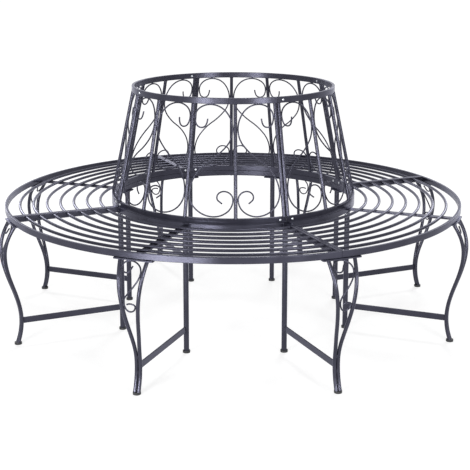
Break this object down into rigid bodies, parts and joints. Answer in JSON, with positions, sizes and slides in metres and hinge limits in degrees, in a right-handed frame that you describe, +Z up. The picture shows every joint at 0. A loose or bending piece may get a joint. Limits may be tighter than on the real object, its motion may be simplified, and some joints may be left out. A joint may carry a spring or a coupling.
{
  "type": "tree bench",
  "caption": "Round tube-steel bench for standing around a tree: ring seat of bent rods, leaning back with scrolls, cabriole legs with scrolls and stretchers.",
  "frame": {"origin": "on the floor under the centre of the ring", "axes": "+Z up along the axis of the ring; the seams between the four sections lie on the diagonals, so +X and +Y run through the middles of two sections"},
  "size_m": [1.671, 1.671, 0.842],
  "materials": {
    "powder_coat": "slate grey powder coat, fine sparkle, satin",
    "zinc_plate": "bright zinc plate",
    "bare_steel": "plain steel, hidden inside the rails",
    "foot_plastic": "black moulded plastic"
  },
  "bodies": {
    "root": {"seat_outer_rim_1": "powder_coat", "seat_inner_rim_1": "powder_coat", "seat_rods_1": "powder_coat", "seat_cross_bars_1": "powder_coat", "back_top_rail_1": "powder_coat", "back_bottom_rail_1": "powder_coat", "back_posts_1": "powder_coat", "back_scrolls_1": "powder_coat", "seat_outer_rim_2": "powder_coat", "seat_inner_rim_2": "powder_coat", "seat_rods_2": "powder_coat", "seat_cross_bars_2": "powder_coat", "back_top_rail_2": "powder_coat", "back_bottom_rail_2": "powder_coat", "back_posts_2": "powder_coat", "back_scrolls_2": "powder_coat", "seat_outer_rim_3": "powder_coat", "seat_inner_rim_3": "powder_coat", "seat_rods_3": "powder_coat", "seat_cross_bars_3": "powder_coat", "back_top_rail_3": "powder_coat", "back_bottom_rail_3": "powder_coat", "back_posts_3": "powder_coat", "back_scrolls_3": "powder_coat", "seat_outer_rim_4": "powder_coat", "seat_inner_rim_4": "powder_coat", "seat_rods_4": "powder_coat", "seat_cross_bars_4": "powder_coat", "back_top_rail_4": "powder_coat", "back_bottom_rail_4": "powder_coat", "back_posts_4": "powder_coat", "back_scrolls_4": "powder_coat", "leg_outer_tubes_1": "powder_coat", "leg_inner_tube_1": "powder_coat", "leg_outer_tubes_2": "powder_coat", "leg_inner_tube_2": "powder_coat", "leg_outer_tubes_3": "powder_coat", "leg_inner_tube_3": "powder_coat", "leg_outer_tubes_4": "powder_coat", "leg_inner_tube_4": "powder_coat", "leg_outer_tubes_5": "powder_coat", "leg_inner_tube_5": "powder_coat", "leg_outer_tubes_6": "powder_coat", "leg_inner_tube_6": "powder_coat", "leg_outer_tubes_7": "powder_coat", "leg_inner_tube_7": "powder_coat", "leg_outer_tubes_8": "powder_coat", "leg_inner_tube_8": "powder_coat", "leg_stretchers": "powder_coat", "leg_outer_plates": "powder_coat", "leg_inner_plates": "powder_coat", "leg_scrolls": "powder_coat", "foot_pads": "foot_plastic", "leg_bolts": "zinc_plate", "back_bolts": "zinc_plate", "threaded_bushes": "zinc_plate", "joint_spigots": "bare_steel", "joint_bolts": "zinc_plate", "joint_nuts": "zinc_plate"}
  },
  "joints": []
}
